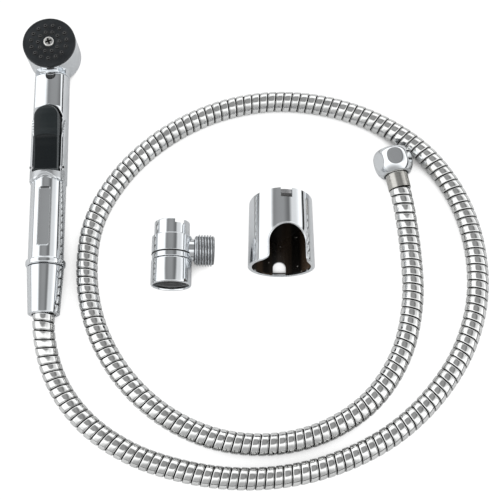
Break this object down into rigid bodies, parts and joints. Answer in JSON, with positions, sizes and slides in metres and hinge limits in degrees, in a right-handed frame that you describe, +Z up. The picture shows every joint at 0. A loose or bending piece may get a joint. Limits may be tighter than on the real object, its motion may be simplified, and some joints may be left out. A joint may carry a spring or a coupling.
{
  "type": "handheld bath sprayer",
  "caption": "Chrome hand sprayer with a press lever and a round spray face on a metal hose, with a tap adapter and a wall cup.",
  "frame": {"origin": "centre of the base rectangle of the kit without its hose, on the surface it lies on", "axes": "+Z up from the surface, +Y along the handset towards its head, +X from the handset towards the cup"},
  "size_m": [0.3106, 0.3138, 0.0421],
  "materials": {
    "chrome_plate": "polished chrome plate",
    "satin_steel": "satin, fine turning marks",
    "hose_winding": "bright interlocked stainless winding",
    "black_plastic": "fine moulded grain, semi-matt",
    "rubber": "matt",
    "white_plastic": "moulded",
    "brass": "machined"
  },
  "bodies": {
    "handset": {"handle_body": "chrome_plate", "head_shell": "chrome_plate", "spray_face": "black_plastic", "nozzle_mat": "rubber", "face_screw": "satin_steel", "head_gasket": "rubber", "distributor": "white_plastic", "lever_pin": "satin_steel", "valve_block": "white_plastic", "valve_spring": "satin_steel", "stem_seal": "rubber", "upper_tube": "white_plastic", "lower_tube": "white_plastic", "grip_ring": "chrome_plate", "inlet_nipple": "brass", "inlet_washer": "rubber", "near_ferrule": "satin_steel", "hose": "hose_winding", "hose_liner": "rubber", "far_ferrule": "satin_steel", "nut_washer": "rubber"},
    "lever": {"lever": "black_plastic"},
    "stem": {"valve_stem": "satin_steel", "valve_washer": "rubber"},
    "cone_nut": {"cone_nut": "chrome_plate"},
    "hose_nut": {"hose_nut": "chrome_plate"},
    "adapter": {"adapter_body": "chrome_plate", "outlet_nipple": "chrome_plate", "aerator_housing": "chrome_plate", "aerator_mesh": "white_plastic", "adapter_ring": "chrome_plate", "collar_circlip": "satin_steel", "collar_washer": "rubber"},
    "collar": {"adapter_collar": "chrome_plate"},
    "cup": {"cup_shell": "chrome_plate", "cup_liner": "rubber", "wall_plate": "satin_steel"}
  },
  "joints": [
    {"name": "lever_hinge", "type": "hinge", "parent": "handset", "child": "lever", "pos_m": [-0.07781, -0.00503, 0.021], "axis": [-0.9997, -0.0236, 0], "range_deg": [0, 6.5], "stiffness_Nm_per_rad": 0.8, "springref_deg": -5.73},
    {"name": "stem_slide", "type": "slide", "parent": "handset", "child": "stem", "axis": [0, 0, -1], "range_m": [0, 0.0031], "deforming": ["valve_spring"]},
    {"name": "cone_nut_spin", "type": "hinge", "parent": "handset", "child": "cone_nut", "pos_m": [-0.07585, -0.088, 0.013], "axis": [-0.0236, 0.9997, 0], "continuous": true},
    {"name": "hose_nut_spin", "type": "hinge", "parent": "handset", "child": "hose_nut", "pos_m": [0.1529, 0.002, 0.012], "axis": [-0.1908, 0.9816, 0], "continuous": true},
    {"name": "adapter_lift", "type": "slide", "parent": "handset", "child": "adapter", "axis": [0, 0, 1], "range_m": [0, 0.06]},
    {"name": "collar_spin", "type": "hinge", "parent": "adapter", "child": "collar", "pos_m": [0.0055, -0.0759, 0.0132], "axis": [0, 1, 0], "continuous": true},
    {"name": "cup_lift", "type": "slide", "parent": "handset", "child": "cup", "axis": [0, 0, 1], "range_m": [0, 0.06]}
  ],
  "couplings": [
    {"joint": "stem_slide", "follows": "lever_hinge", "m_per_rad": 0.026}
  ]
}
